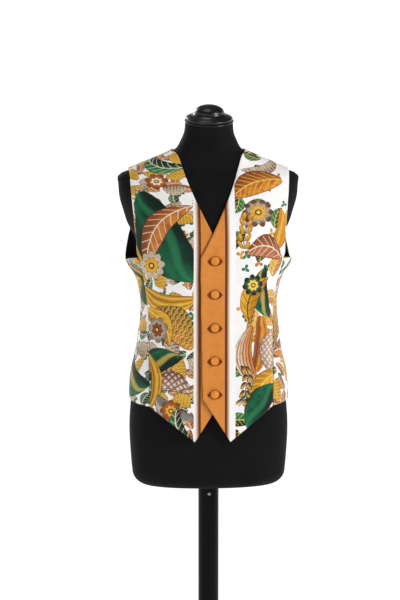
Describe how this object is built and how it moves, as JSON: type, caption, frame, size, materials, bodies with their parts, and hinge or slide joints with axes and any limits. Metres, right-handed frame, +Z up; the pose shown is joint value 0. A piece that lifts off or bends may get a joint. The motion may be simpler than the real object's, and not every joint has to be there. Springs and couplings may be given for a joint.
{
  "type": "vest on a dress form stand",
  "caption": "Sleeveless V-neck button vest with pointed fronts in printed silk, worn by a limbless torso dress form on a pole with a round base.",
  "frame": {"origin": "on the floor, at the middle of the round base's underside", "axes": "+Z up along the pole, -Y the way the form faces, +X to the wearer's left"},
  "size_m": [0.4, 0.4, 1.5899],
  "materials": {
    "printed_silk": "satin",
    "plain_silk": "satin",
    "black_jersey": "matt",
    "black_gloss": "gloss",
    "black_paint": "satin",
    "screw_steel": "satin"
  },
  "bodies": {
    "root": {"vest_front_left": "printed_silk", "vest_front_right": "printed_silk", "vest_back": "printed_silk", "button_1": "plain_silk", "button_2": "plain_silk", "button_3": "plain_silk", "button_4": "plain_silk", "button_5": "plain_silk", "form_torso": "black_jersey", "neck_ring": "black_gloss", "neck_cap": "black_gloss", "base_plate": "black_paint", "base_collar": "black_paint", "pole": "black_paint", "pole_screw": "screw_steel"}
  },
  "joints": []
}
